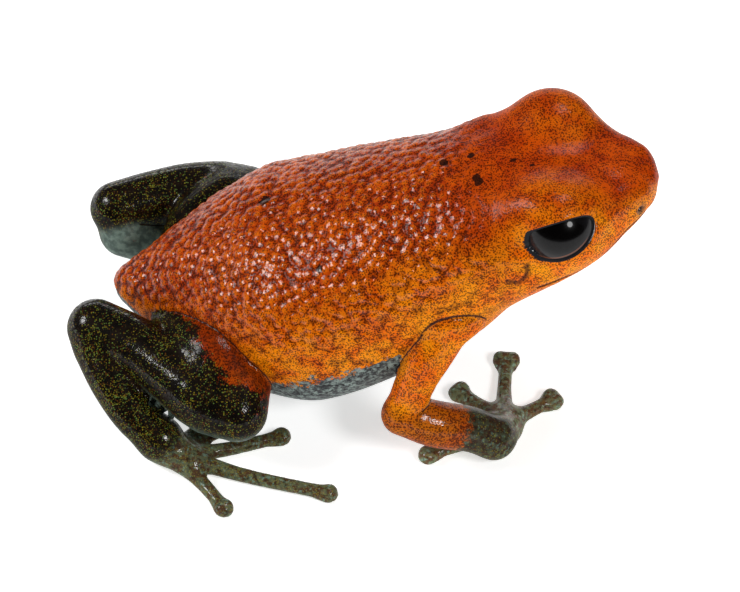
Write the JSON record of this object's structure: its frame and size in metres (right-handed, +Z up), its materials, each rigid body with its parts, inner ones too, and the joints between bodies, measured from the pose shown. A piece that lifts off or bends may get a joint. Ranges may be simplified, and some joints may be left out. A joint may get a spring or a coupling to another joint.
{
  "type": "strawberry poison dart frog model",
  "caption": "Life-size still model of a sitting strawberry poison dart frog, orange with dark speckled legs and black eyes.",
  "frame": {"origin": "centre of the bounding box at floor level, under the belly", "axes": "+X is the way the frog faces, +Y is its left side, +Z is up from the floor that it sits on"},
  "size_m": [0.0224, 0.0164, 0.0118],
  "materials": {
    "head_skin": "wet smooth skin, orange with fine black stipple",
    "back_skin": "wet granular skin, red-orange with fine black stipple",
    "arm_skin": "wet smooth skin, orange with fine black stipple",
    "hand_skin": "satin skin, grey-green with brown and teal patches",
    "leg_skin": "wet skin, black-brown with fine green and gold specks",
    "foot_skin": "satin skin, brown with green, gold and teal specks",
    "eye_surface": "polished, near black with a dark grey iris"
  },
  "bodies": {
    "root": {"head": "head_skin", "torso": "back_skin", "eye_right": "eye_surface", "eye_left": "eye_surface", "upper_arm_right": "arm_skin", "forearm_right": "arm_skin", "hand_right": "hand_skin", "upper_arm_left": "arm_skin", "forearm_left": "arm_skin", "hand_left": "hand_skin", "thigh_right": "leg_skin", "shank_right": "leg_skin", "tarsus_right": "leg_skin", "foot_right": "foot_skin", "thigh_left": "leg_skin", "shank_left": "leg_skin", "tarsus_left": "leg_skin", "foot_left": "foot_skin"}
  },
  "joints": []
}
